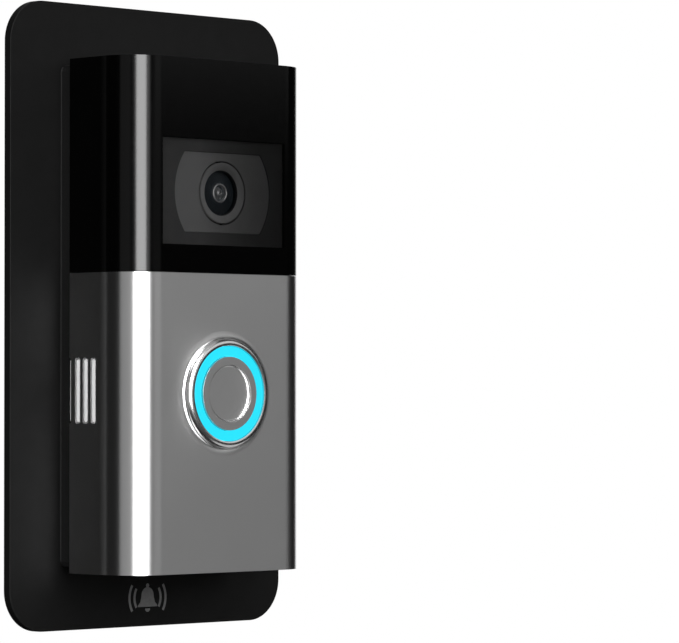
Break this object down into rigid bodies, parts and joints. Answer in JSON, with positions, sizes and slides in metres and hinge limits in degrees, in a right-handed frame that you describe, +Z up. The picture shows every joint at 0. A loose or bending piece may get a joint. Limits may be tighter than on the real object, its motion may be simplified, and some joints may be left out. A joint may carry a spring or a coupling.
{
  "type": "video doorbell",
  "caption": "Battery video doorbell on a flat wall plate: gloss black camera cover, satin nickel faceplate, lit round button, side speaker slots and a battery that slides out below.",
  "frame": {"origin": "centre of the mounting plate's back face, on the wall", "axes": "+Z up the wall, front faces -Y, +X to a visitor's right"},
  "size_m": [0.0926, 0.0324, 0.157],
  "materials": {
    "plate_plastic": "matte, fine moulded grain",
    "black_rubber": "matte",
    "housing_plastic": "matte, fine moulded grain",
    "chassis_plastic": "matte",
    "battery_plastic": "matte",
    "tab_plastic": "semi-matte",
    "gloss_black": "high gloss",
    "smoked_window": "smoked, polished",
    "shade_grey": "satin",
    "barrel_black": "satin",
    "lens_glass": "coated, polished",
    "infrared_resin": "clear dark resin",
    "satin_nickel": "satin nickel plate",
    "polished_nickel": "polished nickel plate",
    "light_ring": "translucent light guide, lit",
    "acoustic_mesh": "fine woven acoustic mesh",
    "circuit_board": "solder mask",
    "tinned_can": "tin plate",
    "chip_plastic": "moulded epoxy",
    "antenna_film": "polyimide film",
    "brass": "plated contact brass",
    "steel": "zinc plated",
    "cell_foil": "printed wrap over foil"
  },
  "bodies": {
    "unit": {"mounting_plate": "plate_plastic", "rear_seal": "black_rubber", "rear_housing": "housing_plastic", "terminal_plate_left": "brass", "terminal_plate_right": "brass", "terminal_screw_left": "steel", "terminal_screw_right": "steel", "speaker_frame": "chassis_plastic", "speaker_cone": "black_rubber", "speaker_magnet": "steel", "battery_contacts": "chip_plastic", "battery_tray": "chassis_plastic", "main_board": "circuit_board", "camera_board": "circuit_board", "processor_shield": "tinned_can", "radio_shield": "tinned_can", "microphone": "tinned_can", "tactile_switch": "chip_plastic", "wifi_antenna": "antenna_film", "front_chassis": "chassis_plastic", "image_sensor": "chip_plastic", "lens_holder": "chassis_plastic", "lens_barrel": "barrel_black", "lens_inner_element": "lens_glass", "lens_front_element": "lens_glass", "lens_ring": "shade_grey", "lens_shade": "shade_grey", "infrared_light_left": "infrared_resin", "infrared_light_right": "infrared_resin", "camera_window": "smoked_window", "camera_cover": "gloss_black", "button_housing": "chassis_plastic", "light_ring_board": "circuit_board", "light_ring": "light_ring", "button_bezel": "polished_nickel", "button_spring": "steel", "mounting_screw_upper_left": "steel", "chassis_screw_upper_left": "steel", "mounting_screw_upper_right": "steel", "chassis_screw_upper_right": "steel", "mounting_screw_lower_left": "steel", "chassis_screw_lower_left": "steel", "mounting_screw_lower_right": "steel", "chassis_screw_lower_right": "steel"},
    "faceplate_assembly": {"faceplate": "satin_nickel", "speaker_mesh": "acoustic_mesh", "security_screw": "steel"},
    "button": {"button_rim": "satin_nickel", "button_disc": "satin_nickel"},
    "battery_pack": {"battery_case": "battery_plastic", "battery_cell_left": "cell_foil", "battery_cell_right": "cell_foil", "battery_terminals": "brass", "battery_end_cap": "battery_plastic"},
    "release_tab": {"battery_release_tab": "tab_plastic"}
  },
  "joints": [
    {"name": "button_press", "type": "slide", "parent": "unit", "child": "button", "axis": [0, 1, 0], "range_m": [0, 0.0008], "stiffness_N_per_m": 1200, "springref_m": -0.001, "deforming": ["button_spring"]},
    {"name": "faceplate_release", "type": "slide", "parent": "unit", "child": "faceplate_assembly", "axis": [0, -1, 0], "range_m": [0, 0.03]},
    {"name": "battery_slide", "type": "slide", "parent": "unit", "child": "battery_pack", "axis": [0, 0, -1], "range_m": [0, 0.07]},
    {"name": "release_tab_press", "type": "slide", "parent": "battery_pack", "child": "release_tab", "axis": [0, 1, 0], "range_m": [0, 0.0012], "stiffness_N_per_m": 800, "springref_m": -0.001}
  ]
}
